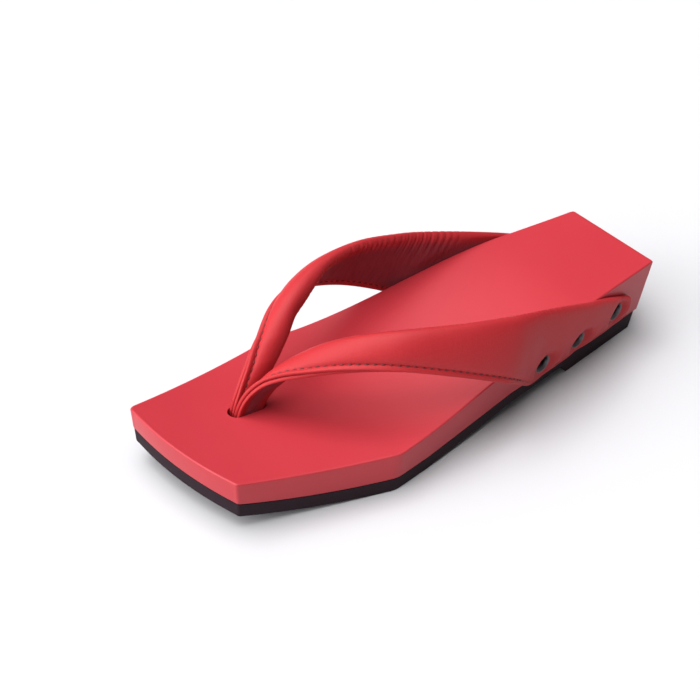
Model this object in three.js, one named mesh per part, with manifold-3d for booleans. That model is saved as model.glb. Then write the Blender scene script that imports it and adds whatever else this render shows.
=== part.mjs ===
// A left geta sandal: a lacquered wooden platform on a rubber sole, with a padded leather strap.
// Millimetres. The model is drawn in the shoe's own axes, [ahead, side, up]:
// ahead runs from the back of the heel to the toe, side is positive on the outer side of the foot,
// and up is measured from the floor. The exported group turns the toe towards -Y.
import * as THREE from "three";
import { mergeVertices } from "three/addons/utils/BufferGeometryUtils.js";
import Module from "manifold-3d";

const wasm = await Module();
wasm.setup();

// Driving sizes of the whole shoe
const LENGTH = 245;
const MIDDLE = { ahead: 122.0, side: 1.1 };
const CLEARANCE = 0.3;
const CUT_MARGIN = 5;
const CUT_WIDTH = 140;
const MERGE_WITHIN = 1e-4;

// Heights of the platform along the foot
const HEEL_TOP = 35.7;
const HEEL_FLAT_END = 44.5;
const BALL_TOP = 20.9;
const BALL_AHEAD = 164.3;
const TOE_TOP_RISE = 7.0;
const HEEL_SEAM = 9.2;
const WAIST_SEAM = 11.9;
const BALL_SEAM = 7.3;
const TOE_SOLE_RISE = 10.4;

// Underside of the rubber: heel block, step, raised waist, flat tread
const HEEL_BLOCK_END = 55;
const STEP_TOP_AHEAD = 59.5;
const WAIST_LIFT = 5.6;
const WAIST_END = 95;
const TREAD_START = 147;
const TREAD_END = 165;

// Corners of the footbed, anticlockwise from above, each with the side that leaves it:
// round is the corner's radius, bow the outward swell of the side, lean its inward slope downwards,
// and sole how far the rubber stands back from the wood there
const PLAN = [
  { corner: "heel inner", ahead: 1.3, side: -29.9, round: 2, bow: -2.0, lean: 0.095, sole: 0.2 },
  { corner: "ball inner", ahead: 165.7, side: -47.4, round: 6, bow: 0.0, lean: 0.02, sole: 0.2 },
  { corner: "toe inner", ahead: 245.0, side: -34.0, round: 3.5, bow: 3.1, lean: 0.05, sole: 0.2 },
  { corner: "toe outer", ahead: 232.3, side: 30.9, round: 2, bow: 0.0, lean: 0.06, sole: 0.2 },
  { corner: "ball outer", ahead: 163.9, side: 49.9, round: 12, bow: 0.4, lean: 0.095, sole: 0.2 },
  { corner: "heel outer", ahead: -0.4, side: 23.5, round: 1.2, bow: 0.0, lean: 0.19, sole: 2.0 },
];
const [HEEL_INNER, BALL_INNER, , , BALL_OUTER, HEEL_OUTER] = PLAN;
const CORNER_STEPS = 4;
const SIDE_STEPS = 6;
const HEIGHT_STEP = 6;

// Slot for the toe post, a long hole with round ends
const SLOT_END_STEPS = 8;
const SLOT = { rear: 192.0, front: 210.2, side: -10.25, width: 8.0 };

// Leather: two layers make the flat flange, and padding swells the rest of the band
const LEATHER = 3.4;
const BAND_STEPS = 3;

// One turn round the band's section: flange counts flange widths, pad the share of the padded width,
// leather the share of the two layers and swell the share of the padding's thickness
const SECTION = [
  { place: "lip of the lining", flange: 0, pad: 0, leather: -0.5, swell: 0 },
  { place: "lining at the seam", flange: 1, pad: 0, leather: -0.5, swell: 0 },
  { place: "middle of the lining", flange: 1, pad: 0.55, leather: -0.5, swell: -0.2 },
  { place: "under the roll", flange: 1, pad: 0.93, leather: -0.42, swell: -0.14 },
  { place: "end of the roll", flange: 1, pad: 1, leather: 0, swell: 0.06 },
  { place: "over the roll", flange: 1, pad: 0.95, leather: 0.4, swell: 0.32 },
  { place: "back of the crown", flange: 1, pad: 0.8, leather: 0.5, swell: 0.64 },
  { place: "crown", flange: 1, pad: 0.54, leather: 0.5, swell: 0.8 },
  { place: "flank", flange: 1, pad: 0.28, leather: 0.5, swell: 0.66 },
  { place: "foot of the pad", flange: 1, pad: 0.1, leather: 0.5, swell: 0.36 },
  { place: "seam", flange: 1, pad: 0, leather: 0.5, swell: 0 },
  { place: "lip of the top leather", flange: 0, pad: 0, leather: 0.5, swell: 0 },
];

// The two bands, a row for each section from the toe post to the back end:
// front is the flange's edge and rear the rolled edge, both as [ahead, side, up],
// flange is the width of the flat edge and pad the full thickness of the padded part
const OUTER_BAND = [
  { front: [208.4, -8.4, 10.9], rear: [194.6, -8.4, 10.9], flange: 3.2, pad: 3.6 },
  { front: [207.6, -8.4, 22.6], rear: [193.8, -8.2, 22.4], flange: 3.2, pad: 3.7 },
  { front: [203.9, -7.2, 31.3], rear: [188.8, -6.6, 31.2], flange: 3.0, pad: 4.8 },
  { front: [198.2, -3.4, 38.6], rear: [184.2, -3.4, 37.4], flange: 2.8, pad: 6.4 },
  { front: [192.0, 2.9, 43.2], rear: [176.2, -0.6, 43.6], flange: 2.6, pad: 6.9 },
  { front: [185.0, 10.4, 46.4], rear: [170.6, 3.8, 49.8], flange: 2.5, pad: 7.0 },
  { front: [176.0, 18.4, 48.9], rear: [163.5, 10.1, 55.0], flange: 2.5, pad: 7.0 },
  { front: [164.0, 27.0, 49.5], rear: [154.8, 17.6, 59.0], flange: 2.5, pad: 7.0 },
  { front: [151.1, 34.2, 47.6], rear: [143.5, 25.6, 61.2], flange: 2.5, pad: 6.8 },
  { front: [129.6, 42.7, 40.5], rear: [120.5, 34.4, 59.6], flange: 2.5, pad: 6.3 },
  { front: [107.1, 46.8, 29.4], rear: [98.5, 38.1, 55.9], flange: 2.5, pad: 6.5 },
  { front: [96.0, 43.0, 20.8], rear: [89.5, 38.5, 53.9], flange: 2.5, pad: 6.8 },
  { front: [85.4, 37.6, 13.2], rear: [80.0, 38.2, 51.3], flange: 2.2, pad: 7.0 },
  { front: [70.0, 34.7, 13.7], rear: [66.0, 37.0, 46.6], flange: 1.8, pad: 6.9 },
  { front: [50.0, 31.4, 14.0], rear: [48.0, 34.3, 39.4], flange: 1.6, pad: 6.6 },
  { front: [34.0, 28.8, 14.0], rear: [34.5, 31.0, 33.7], flange: 1.6, pad: 6.2 },
  { front: [24.0, 27.0, 14.0], rear: [23.5, 28.8, 28.6], flange: 1.6, pad: 5.4 },
  { front: [18.6, 26.1, 15.0], rear: [18.4, 27.5, 26.0], flange: 1.6, pad: 4.6 },
];
const INNER_BAND = [
  { front: [208.4, -12.1, 10.9], rear: [194.6, -12.1, 10.9], flange: 3.2, pad: 3.6 },
  { front: [207.6, -12.1, 22.6], rear: [193.8, -12.3, 22.4], flange: 3.2, pad: 3.7 },
  { front: [203.4, -13.3, 31.1], rear: [187.8, -14.2, 31.2], flange: 3.0, pad: 4.8 },
  { front: [197.0, -16.4, 38.9], rear: [180.4, -16.4, 38.6], flange: 3.0, pad: 6.8 },
  { front: [191.0, -20.4, 44.2], rear: [173.2, -18.6, 45.4], flange: 2.8, pad: 7.6 },
  { front: [183.7, -25.5, 47.5], rear: [167.8, -20.8, 51.2], flange: 2.6, pad: 7.9 },
  { front: [175.0, -31.5, 49.5], rear: [160.6, -23.8, 55.6], flange: 2.5, pad: 8.0 },
  { front: [163.8, -37.8, 49.3], rear: [152.3, -28.3, 58.8], flange: 2.5, pad: 7.8 },
  { front: [150.5, -42.8, 45.8], rear: [142.3, -33.5, 61.0], flange: 2.5, pad: 7.2 },
  { front: [130.6, -45.2, 37.6], rear: [121.0, -39.0, 59.3], flange: 2.5, pad: 6.3 },
  { front: [110.3, -44.0, 27.0], rear: [99.0, -39.7, 54.4], flange: 2.5, pad: 6.5 },
  { front: [98.5, -41.6, 19.6], rear: [90.0, -39.8, 51.8], flange: 2.5, pad: 6.8 },
  { front: [87.0, -37.2, 13.2], rear: [81.0, -39.4, 48.9], flange: 2.2, pad: 7.0 },
  { front: [70.0, -35.1, 13.7], rear: [66.0, -38.2, 43.8], flange: 1.8, pad: 6.9 },
  { front: [50.0, -33.1, 14.0], rear: [48.0, -35.8, 37.6], flange: 1.6, pad: 6.6 },
  { front: [34.0, -31.8, 14.0], rear: [34.5, -34.0, 32.5], flange: 1.6, pad: 6.2 },
  { front: [24.0, -30.9, 14.0], rear: [23.5, -32.6, 28.2], flange: 1.6, pad: 5.4 },
  { front: [18.6, -30.6, 15.0], rear: [18.4, -31.8, 25.8], flange: 1.6, pad: 4.6 },
];

// Dished eyelets, three to a side, sunk in the leather and set in the wood:
// a narrow rim, a bowl that opens from it, and a barrel behind the bowl
const EYELETS = [
  { ahead: 27.1, up: 21.5 },
  { ahead: 53.9, up: 20.5 },
  { ahead: 78.2, up: 20.4 },
];
const EYELET = {
  rim: 4.5,
  edge: 4.2,
  barrel: 3.9,
  bowl: 3.5,
  lip: 0.7,
  sunk: 0.8,
  depth: 5.0,
  hollow: 4.2,
};
const EYELET_SIDES = 16;
const BOWL_STEPS = 3;
const LATHE_AXIS = new THREE.Vector3(0, 1, 0);

const RED_LACQUER = new THREE.MeshStandardMaterial({ color: 0xc9303a, roughness: 0.38, metalness: 0 });
const RED_LEATHER = new THREE.MeshStandardMaterial({ color: 0xc42f35, roughness: 0.5, metalness: 0 });
const BLACK_RUBBER = new THREE.MeshStandardMaterial({ color: 0x1d171b, roughness: 0.8, metalness: 0 });
const DARK_METAL = new THREE.MeshStandardMaterial({ color: 0x4a4648, roughness: 0.35, metalness: 0.9 });

const { lerp, smoothstep } = THREE.MathUtils;

// Height of the footbed: level at the heel, an easy slope to the ball, then a rising toe.
function footbedTop(ahead) {
  if (ahead > BALL_AHEAD) {
    const share = (ahead - BALL_AHEAD) / (LENGTH - BALL_AHEAD);
    return BALL_TOP + TOE_TOP_RISE * share ** 2;
  }
  return lerp(HEEL_TOP, BALL_TOP, smoothstep(ahead, HEEL_FLAT_END, BALL_AHEAD));
}

// How far the tread lifts off the floor towards the toe.
function toeLift(ahead) {
  const share = Math.max(0, (ahead - TREAD_END) / (LENGTH - TREAD_END));
  return TOE_SOLE_RISE * share ** 2;
}

// Height of the seam between wood and rubber.
function seam(ahead) {
  const rise = lerp(HEEL_SEAM, WAIST_SEAM, Math.min(ahead / WAIST_END, 1));
  const share = THREE.MathUtils.clamp((ahead - WAIST_END) / (TREAD_START - WAIST_END), 0, 1);
  return rise - (WAIST_SEAM - BALL_SEAM) * share + toeLift(ahead);
}

// Stations every few millimetres between two points along the foot, both ends included.
function stations(from, to) {
  const count = Math.max(1, Math.round((to - from) / HEIGHT_STEP));
  return Array.from({ length: count + 1 }, (_, i) => lerp(from, to, i / count));
}

// Corners of the plan at one height: each side is moved out by its margin and in by its lean.
function cornersAt(up, margins) {
  const corners = PLAN.map((row) => new THREE.Vector2(row.ahead, row.side));
  const count = corners.length;
  const outwards = corners.map((corner, i) => {
    const run = corners[(i + 1) % count].clone().sub(corner).normalize();
    return new THREE.Vector2(run.y, -run.x);
  });
  return corners.map((corner, i) => {
    const before = (i + count - 1) % count;
    const drop = up - footbedTop(PLAN[i].ahead);
    const moveBefore = margins[before] + PLAN[before].lean * drop;
    const moveHere = margins[i] + PLAN[i].lean * drop;
    const turn = outwards[before].dot(outwards[i]);
    const whole = 1 - turn ** 2;
    return corner.clone()
      .addScaledVector(outwards[before], (moveBefore - moveHere * turn) / whole)
      .addScaledVector(outwards[i], (moveHere - moveBefore * turn) / whole);
  });
}

// Plan outline at one height, with round corners and bowed sides.
function planOutline(up, margins) {
  const corners = cornersAt(up, margins);
  const count = corners.length;
  const runs = corners.map((corner, i) => corners[(i + 1) % count].clone().sub(corner).normalize());
  const turns = runs.map((run, i) => runs[(i + count - 1) % count].angleTo(run));
  const cuts = turns.map((turn, i) => PLAN[i].round * Math.tan(turn / 2));
  return corners.flatMap((corner, i) => {
    const run = runs[i];
    const next = (i + 1) % count;
    const start = corner.clone().addScaledVector(runs[(i + count - 1) % count], -cuts[i]);
    const leave = corner.clone().addScaledVector(run, cuts[i]);
    const arrive = corners[next].clone().addScaledVector(run, -cuts[next]);
    const swell = new THREE.Vector2(run.y, -run.x).multiplyScalar(2 * PLAN[i].bow);
    const middle = leave.clone().lerp(arrive, 0.5).add(swell);
    const sideSteps = PLAN[i].bow === 0 ? 1 : SIDE_STEPS;
    const round = new THREE.QuadraticBezierCurve(start, corner, leave).getPoints(CORNER_STEPS);
    const side = new THREE.QuadraticBezierCurve(leave, middle, arrive).getPoints(sideSteps);
    return [...round, ...side.slice(1, -1)];
  });
}

// A closed solid from rings of equal length and the two flat outlines that close its ends.
function loft(rings, firstEnd, lastEnd) {
  const size = rings[0].length;
  const vertices = rings.flat();
  const triangles = [];
  for (let i = 0; i < rings.length - 1; i++) {
    for (let j = 0; j < size; j++) {
      const a = i * size + j;
      const b = i * size + ((j + 1) % size);
      triangles.push([a, b, b + size], [a, b + size, a + size]);
    }
  }
  const last = (rings.length - 1) * size;
  const firstCap = THREE.ShapeUtils.triangulateShape(firstEnd, []);
  const lastCap = THREE.ShapeUtils.triangulateShape(lastEnd, []);
  firstCap.forEach(([a, b, c]) => triangles.push([c, b, a]));
  lastCap.forEach(([a, b, c]) => triangles.push([a + last, b + last, c + last]));
  return solid(vertices, triangles);
}

// Turns vertices and triangles into a solid, with its faces pointing outwards.
function solid(vertices, triangles) {
  const volume = triangles.reduce((sum, [a, b, c]) => {
    const cross = new THREE.Vector3().crossVectors(vertices[b], vertices[c]);
    return sum + vertices[a].dot(cross);
  }, 0);
  const faces = volume > 0 ? triangles : triangles.map(([a, b, c]) => [a, c, b]);
  const mesh = new wasm.Mesh({
    numProp: 3,
    vertProperties: new Float32Array(vertices.flatMap((v) => [v.x, v.y, v.z])),
    triVerts: new Uint32Array(faces.flat()),
  });
  return new wasm.Manifold(mesh);
}

// The solid inside a closed three.js geometry.
function solidOf(geometry) {
  geometry.deleteAttribute("normal");
  geometry.deleteAttribute("uv");
  const merged = mergeVertices(geometry, MERGE_WITHIN);
  const mesh = new wasm.Mesh({
    numProp: 3,
    vertProperties: new Float32Array(merged.attributes.position.array),
    triVerts: new Uint32Array(merged.index.array),
  });
  return new wasm.Manifold(mesh);
}

// The three.js geometry of a solid.
function geometryOf(manifold) {
  const mesh = manifold.getMesh();
  const corners = new THREE.BufferAttribute(new Float32Array(mesh.vertProperties), mesh.numProp);
  const geometry = new THREE.BufferGeometry();
  geometry.setAttribute("position", corners);
  geometry.setIndex(new THREE.BufferAttribute(new Uint32Array(mesh.triVerts), 1));
  geometry.computeVertexNormals();
  return geometry;
}

// The leaning side walls: a tall block whose sides pass through the footbed's outline at its height.
function planBlock(margins) {
  const heights = [-CUT_MARGIN, HEEL_TOP + CUT_MARGIN];
  const outlines = heights.map((up) => planOutline(up, margins));
  const rings = outlines.map((outline, i) => outline.map((p) => new THREE.Vector3(p.x, p.y, heights[i])));
  return loft(rings, outlines[0], outlines[1]);
}

// A side view swept across the whole width of the shoe.
function sideBlock(profile) {
  const shape = new THREE.Shape(profile.map(([ahead, up]) => new THREE.Vector2(ahead, up)));
  const geometry = new THREE.ExtrudeGeometry(shape, { depth: CUT_WIDTH, bevelEnabled: false });
  geometry.rotateX(Math.PI / 2);
  geometry.translate(0, CUT_WIDTH / 2, 0);
  return solidOf(geometry);
}

// The platform between the seam and the footbed, grown by a margin where a clear space is wanted.
function platform(grow) {
  const back = -CUT_MARGIN;
  const tip = LENGTH + CUT_MARGIN;
  const topStations = [back, ...stations(HEEL_FLAT_END, BALL_AHEAD), ...stations(BALL_AHEAD, tip).slice(1)];
  const seamStations = [...stations(TREAD_END, tip).reverse(), TREAD_START, WAIST_END, back];
  const top = topStations.map((ahead) => [ahead, footbedTop(ahead) + grow]);
  const bottom = seamStations.map((ahead) => [ahead, seam(ahead) - grow]);
  const profile = [...top, ...bottom];
  return planBlock(PLAN.map(() => grow)).intersect(sideBlock(profile));
}

// The long hole for the toe post, grown by a margin.
function slot(grow) {
  const radius = SLOT.width / 2 + grow;
  const round = SLOT.width / 2;
  const shape = new THREE.Shape();
  shape.absarc(SLOT.front - round, SLOT.side, radius, -Math.PI / 2, Math.PI / 2);
  shape.absarc(SLOT.rear + round, SLOT.side, radius, Math.PI / 2, 1.5 * Math.PI);
  const settings = { depth: HEEL_TOP, bevelEnabled: false, curveSegments: SLOT_END_STEPS };
  return solidOf(new THREE.ExtrudeGeometry(shape, settings));
}

// Point and outward direction on the long side wall of the wood, outer or inner.
function wall(hand, ahead, up) {
  const [heel, ball] = hand > 0 ? [HEEL_OUTER, BALL_OUTER] : [HEEL_INNER, BALL_INNER];
  const { bow, lean } = hand > 0 ? BALL_OUTER : HEEL_INNER;
  const share = (ahead - heel.ahead) / (ball.ahead - heel.ahead);
  const edge = lerp(heel.side, ball.side, share) + hand * bow * 4 * share * (1 - share);
  const slope = (ball.side - heel.side) / (ball.ahead - heel.ahead);
  const top = lerp(footbedTop(heel.ahead), footbedTop(ball.ahead), share);
  const point = new THREE.Vector3(ahead, edge - hand * lean * (top - up), up);
  const direction = new THREE.Vector3(-hand * slope, hand, -lean).normalize();
  return { point, direction };
}

// One band of the strap: its section carried from the toe post to the back end.
function band(rows, hand) {
  const front = new THREE.CatmullRomCurve3(rows.map((row) => new THREE.Vector3(...row.front)));
  const rear = new THREE.CatmullRomCurve3(rows.map((row) => new THREE.Vector3(...row.rear)));
  const steps = (rows.length - 1) * BAND_STEPS;
  const rings = [];
  const outlines = [];
  for (let i = 0; i <= steps; i++) {
    const share = i / steps;
    const edge = front.getPoint(share);
    const across = rear.getPoint(share).sub(edge);
    const width = across.length();
    across.normalize();
    const along = front.getTangent(share).add(rear.getTangent(share));
    const outward = new THREE.Vector3().crossVectors(along, across).multiplyScalar(hand).normalize();
    const row = Math.min(Math.floor(i / BAND_STEPS), rows.length - 2);
    const past = i / BAND_STEPS - row;
    const swelling = lerp(rows[row].pad, rows[row + 1].pad, past) - LEATHER;
    const flange = lerp(rows[row].flange, rows[row + 1].flange, past);
    const outline = SECTION.map((place) => new THREE.Vector2(
      place.flange * flange + place.pad * (width - flange),
      place.leather * LEATHER + place.swell * swelling,
    ));
    outlines.push(outline);
    rings.push(outline.map((p) => edge.clone().addScaledVector(across, p.x).addScaledVector(outward, p.y)));
  }
  return loft(rings, outlines[0], outlines[steps]);
}

// Where one eyelet stands: its seat on the leather and the direction it faces.
function eyeletSeat(hand, { ahead, up }) {
  const { point, direction } = wall(hand, ahead, up);
  return { seat: point.addScaledVector(direction, CLEARANCE + EYELET.sunk), direction };
}

// A round hole at an eyelet, from one depth to another along its axis.
function eyeletHole(hand, place, radius, from, to) {
  const { seat, direction } = eyeletSeat(hand, place);
  const geometry = new THREE.CylinderGeometry(radius, radius, to - from, EYELET_SIDES);
  geometry.translate(0, (from + to) / 2, 0);
  geometry.applyQuaternion(new THREE.Quaternion().setFromUnitVectors(LATHE_AXIS, direction));
  geometry.translate(seat.x, seat.y, seat.z);
  return solidOf(geometry);
}

// Runs a function for every eyelet of the shoe.
function forEachEyelet(visit) {
  for (const hand of [1, -1]) {
    EYELETS.forEach((place, i) => visit(hand, place, i + 1));
  }
}

// The wooden platform, with the long hole for the post and a blind hole for each eyelet.
function baseWood() {
  let wood = platform(0).subtract(slot(0));
  forEachEyelet((hand, place) => {
    const hole = eyeletHole(hand, place, EYELET.barrel + CLEARANCE, -EYELET.depth - CLEARANCE, 0);
    wood = wood.subtract(hole);
  });
  return geometryOf(wood);
}

// The rubber sole: heel block, step, raised waist, flat tread and toe spring.
function outsole() {
  const back = -CUT_MARGIN;
  const toe = stations(TREAD_END, LENGTH + CUT_MARGIN);
  const under = [
    [back, 0],
    [HEEL_BLOCK_END, 0],
    [STEP_TOP_AHEAD, WAIST_LIFT],
    [WAIST_END, WAIST_LIFT],
    [TREAD_START, 0],
    ...toe.map((ahead) => [ahead, toeLift(ahead)]),
  ];
  const seamStations = [...toe.reverse(), TREAD_START, WAIST_END, back];
  const over = seamStations.map((ahead) => [ahead, seam(ahead) - CLEARANCE]);
  const margins = PLAN.map((row) => -row.sole);
  return geometryOf(planBlock(margins).intersect(sideBlock([...under, ...over])));
}

// Both bands as one leather piece, joined at the post, clear of the wood and pierced for the eyelets.
function strapUpper() {
  const clear = platform(CLEARANCE).subtract(slot(-CLEARANCE));
  let strap = band(OUTER_BAND, 1).add(band(INNER_BAND, -1)).subtract(clear);
  forEachEyelet((hand, place) => {
    const through = eyeletHole(hand, place, EYELET.barrel + CLEARANCE, -EYELET.depth, EYELET.depth);
    const sink = eyeletHole(hand, place, EYELET.rim + CLEARANCE, 0, EYELET.depth);
    strap = strap.subtract(through).subtract(sink);
  });
  return geometryOf(strap);
}

// A dished eyelet: a rim on the leather, a bowl inside it, and a barrel that stands in the wood.
function eyelet() {
  const { rim, edge, barrel, bowl, lip, depth, hollow } = EYELET;
  const outside = [
    [0, -depth],
    [barrel, -depth],
    [barrel, CLEARANCE],
    [rim, CLEARANCE],
    [rim, CLEARANCE + lip / 2],
    [edge, CLEARANCE + lip],
  ];
  const inside = Array.from({ length: BOWL_STEPS }, (_, i) => {
    const turn = (i / BOWL_STEPS) * (Math.PI / 2);
    return [bowl * Math.cos(turn), -hollow * Math.sin(turn)];
  });
  const profile = [...outside, ...inside, [0, -hollow]];
  const points = profile.map(([radius, up]) => new THREE.Vector2(radius, up));
  return new THREE.LatheGeometry(points, EYELET_SIDES);
}

const shoe = new THREE.Group();

// Adds one named piece to the shoe.
function addPiece(name, geometry, material) {
  const mesh = new THREE.Mesh(geometry, material);
  mesh.name = name;
  shoe.add(mesh);
  return mesh;
}

addPiece("base_wood", baseWood(), RED_LACQUER);
addPiece("outsole", outsole(), BLACK_RUBBER);
addPiece("strap_upper", strapUpper(), RED_LEATHER);
forEachEyelet((hand, place, number) => {
  const { seat, direction } = eyeletSeat(hand, place);
  const mesh = addPiece(`eyelet_${hand > 0 ? "outer" : "inner"}_${number}`, eyelet(), DARK_METAL);
  mesh.position.copy(seat);
  mesh.quaternion.setFromUnitVectors(LATHE_AXIS, direction);
});

// The toe points to -Y, and the origin is on the floor under the middle of the shoe.
shoe.rotation.z = -Math.PI / 2;
shoe.position.set(-MIDDLE.side, MIDDLE.ahead, 0);

export default shoe;
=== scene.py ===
"""A left geta sandal: red lacquered wood on a black rubber sole, with a padded red leather strap.

Shapes are worked out in the shoe's own millimetres, [ahead, side, up]: ahead runs from the back of the
heel to the toe, side is positive on the outer side of the foot, and up is measured from the floor.
"""

import math

import bmesh
import bpy
import numpy as np
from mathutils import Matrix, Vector


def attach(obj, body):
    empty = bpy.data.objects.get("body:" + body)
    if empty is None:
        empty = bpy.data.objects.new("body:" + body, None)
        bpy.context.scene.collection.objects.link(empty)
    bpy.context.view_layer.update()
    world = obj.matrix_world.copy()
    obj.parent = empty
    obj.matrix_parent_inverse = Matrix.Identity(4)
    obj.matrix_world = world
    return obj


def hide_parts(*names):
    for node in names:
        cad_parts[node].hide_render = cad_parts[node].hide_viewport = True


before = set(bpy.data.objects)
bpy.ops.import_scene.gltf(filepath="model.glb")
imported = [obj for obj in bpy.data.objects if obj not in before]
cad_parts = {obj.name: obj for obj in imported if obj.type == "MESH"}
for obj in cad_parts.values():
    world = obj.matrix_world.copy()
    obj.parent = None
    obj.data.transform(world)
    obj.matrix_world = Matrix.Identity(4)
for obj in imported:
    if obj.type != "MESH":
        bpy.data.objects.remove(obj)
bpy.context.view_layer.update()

# Outsole
# A black rubber sole, moulded with a heel block, a raised waist and a tread that lifts towards the toe.
# It is glued under the wood and trimmed a hair inside the wooden edge.

MIDDLE_AHEAD, MIDDLE_SIDE = 122.0, 1.1
LENGTH = 245.0
CLEARANCE = 0.3
SOLE_TOP_EDGE, SOLE_EDGE, SOLE_EDGE_STEPS = 0.2, 0.5, 5
RUBBER_BLACK, RUBBER_BROWN = (0.014, 0.006, 0.009), (0.026, 0.013, 0.019)

# Corners of the footbed, anticlockwise from above, each with the side that leaves it:
# round is the corner's radius, bow the outward swell of the side, lean its inward slope downwards,
# and sole how far the rubber stands back from the wood there
PLAN = [
    dict(corner="heel inner", ahead=1.3, side=-29.9, round=2.0, bow=-2.0, lean=0.095, sole=0.2),
    dict(corner="ball inner", ahead=165.7, side=-47.4, round=6.0, bow=0.0, lean=0.02, sole=0.2),
    dict(corner="toe inner", ahead=245.0, side=-34.0, round=3.5, bow=3.1, lean=0.05, sole=0.2),
    dict(corner="toe outer", ahead=232.3, side=30.9, round=2.0, bow=0.0, lean=0.06, sole=0.2),
    dict(corner="ball outer", ahead=163.9, side=49.9, round=12.0, bow=0.4, lean=0.095, sole=0.2),
    dict(corner="heel outer", ahead=-0.4, side=23.5, round=1.2, bow=0.0, lean=0.19, sole=2.0),
]
LONG_SIDES = [0, 4]

HEEL_TOP, HEEL_FLAT_END = 35.7, 44.5
BALL_TOP, BALL_AHEAD = 20.9, 164.3
TOE_TOP_RISE, TOE_SOLE_RISE = 7.0, 10.4
HEEL_SEAM, WAIST_SEAM, BALL_SEAM = 9.2, 11.9, 7.3
HEEL_BLOCK_END, STEP_TOP_AHEAD, WAIST_LIFT = 55.0, 59.5, 5.6
WAIST_END, TREAD_START, TREAD_END = 95.0, 147.0, 165.0

# Places along the long sides where the grid has a line, with a close pair at each end of the step in front
# of the heel block, so that it stays crisp
CLOSE_PAIR = 0.4
STATIONS = np.concatenate([
    np.linspace(10, 54, 16),
    [HEEL_BLOCK_END, HEEL_BLOCK_END + CLOSE_PAIR, STEP_TOP_AHEAD, STEP_TOP_AHEAD + CLOSE_PAIR],
    np.linspace(62, 94, 12),
    [WAIST_END],
    np.linspace(98, 145, 16),
    [TREAD_START, 150, 153],
])
CORNER_STEPS = 10


def place(points):
    """Turns [ahead, side, up] in millimetres into the frame's metres, with the toe towards -Y."""
    ahead, side, up = np.moveaxis(points, -1, 0)
    return np.stack([side - MIDDLE_SIDE, MIDDLE_AHEAD - ahead, up], axis=-1) / 1000


def smooth_step(value, start, end):
    """Rises from 0 at start to 1 at end along a cubic that is level at both."""
    share = np.clip((value - start) / (end - start), 0, 1)
    return share * share * (3 - 2 * share)


def footbed_top(ahead):
    """Height of the footbed: level at the heel, an easy slope to the ball, then a toe that rises."""
    slope = HEEL_TOP + (BALL_TOP - HEEL_TOP) * smooth_step(ahead, HEEL_FLAT_END, BALL_AHEAD)
    past_ball = np.clip((ahead - BALL_AHEAD) / (LENGTH - BALL_AHEAD), 0, None)
    return slope + TOE_TOP_RISE * past_ball**2


def toe_lift(ahead):
    """How far the tread lifts off the floor, growing with the square of the way past the tread."""
    past_tread = np.clip((ahead - TREAD_END) / (LENGTH - TREAD_END), 0, None)
    return TOE_SOLE_RISE * past_tread**2


def seam(ahead):
    """Height of the seam between wood and rubber: straight runs, plus the lift of the toe."""
    marks = [0, WAIST_END, TREAD_START]
    return np.interp(ahead, marks, [HEEL_SEAM, WAIST_SEAM, BALL_SEAM]) + toe_lift(ahead)


def sole_under(ahead):
    """Height of the rubber's underside: heel block, step, raised waist, flat tread and lifting toe."""
    marks = [HEEL_BLOCK_END, STEP_TOP_AHEAD, WAIST_END, TREAD_START]
    return np.interp(ahead, marks, [0, WAIST_LIFT, WAIST_LIFT, 0]) + toe_lift(ahead)


def unit(vectors):
    """Vectors of length one along the last axis."""
    return vectors / np.linalg.norm(vectors, axis=-1, keepdims=True)


def bezier(start, middle, end, shares):
    """Quadratic curve for each row of three points, at that row's shares of the way."""
    t = shares[..., None]
    return (1 - t)**2 * start[:, None] + 2 * t * (1 - t) * middle[:, None] + t**2 * end[:, None]


def plan_outline(up, grow):
    """Outline of the shoe at one height, as [ahead, side].

    Each side moves out by its margin and in by its lean, the corners become quadratic arcs and the sides
    quadratic bows. The outline starts at the arc of the inner heel corner.
    """
    grow = np.broadcast_to(grow, len(PLAN))
    columns = ("ahead", "side", "round", "bow", "lean")
    ahead, side, radius, bow, lean = (np.array([row[name] for row in PLAN]) for name in columns)
    corners = np.column_stack([ahead, side])
    runs = unit(np.roll(corners, -1, axis=0) - corners)
    outward = np.column_stack([runs[:, 1], -runs[:, 0]])
    before = np.roll(outward, 1, axis=0)
    drop = up - footbed_top(ahead)
    move = grow + lean * drop
    move_before = np.roll(grow, 1) + np.roll(lean, 1) * drop
    turn = np.sum(before * outward, axis=1)
    whole = 1 - turn**2
    corners = corners + before * ((move_before - move * turn) / whole)[:, None]
    corners = corners + outward * ((move - move_before * turn) / whole)[:, None]
    runs = unit(np.roll(corners, -1, axis=0) - corners)
    runs_before = np.roll(runs, 1, axis=0)
    angles = np.arccos(np.clip(np.sum(runs * runs_before, axis=1), -1, 1))
    cuts = (radius * np.tan(angles / 2))[:, None]
    start = corners - runs_before * cuts
    leave = corners + runs * cuts
    arrive = np.roll(start, -1, axis=0)
    swell = 2 * bow[:, None] * np.column_stack([runs[:, 1], -runs[:, 0]])
    shares = np.tile(np.linspace(0, 1, len(STATIONS) + 2)[1:-1], (len(PLAN), 1))
    for i in LONG_SIDES:
        marks = (STATIONS - leave[i, 0]) / (arrive[i, 0] - leave[i, 0])
        shares[i] = np.sort(marks)
    turns = np.tile(np.linspace(0, 1, CORNER_STEPS + 1), (len(PLAN), 1))
    arcs = bezier(start, corners, leave, turns)
    sides = bezier(leave, (leave + arrive) / 2 + swell, arrive, shares)
    return np.concatenate([arcs, sides], axis=1).reshape(-1, 2)


# Heights of the two outlines that the walls are ruled between, how often a wall's height is worked out
# anew, and how far inside its edge a face's grid starts
LOW, HIGH = -5.0, 41.0
HEIGHT_ROUNDS = 8
FACE_INSET = 0.3
CORNER_TO_CORNER = CORNER_STEPS + 1 + len(STATIONS)


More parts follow.
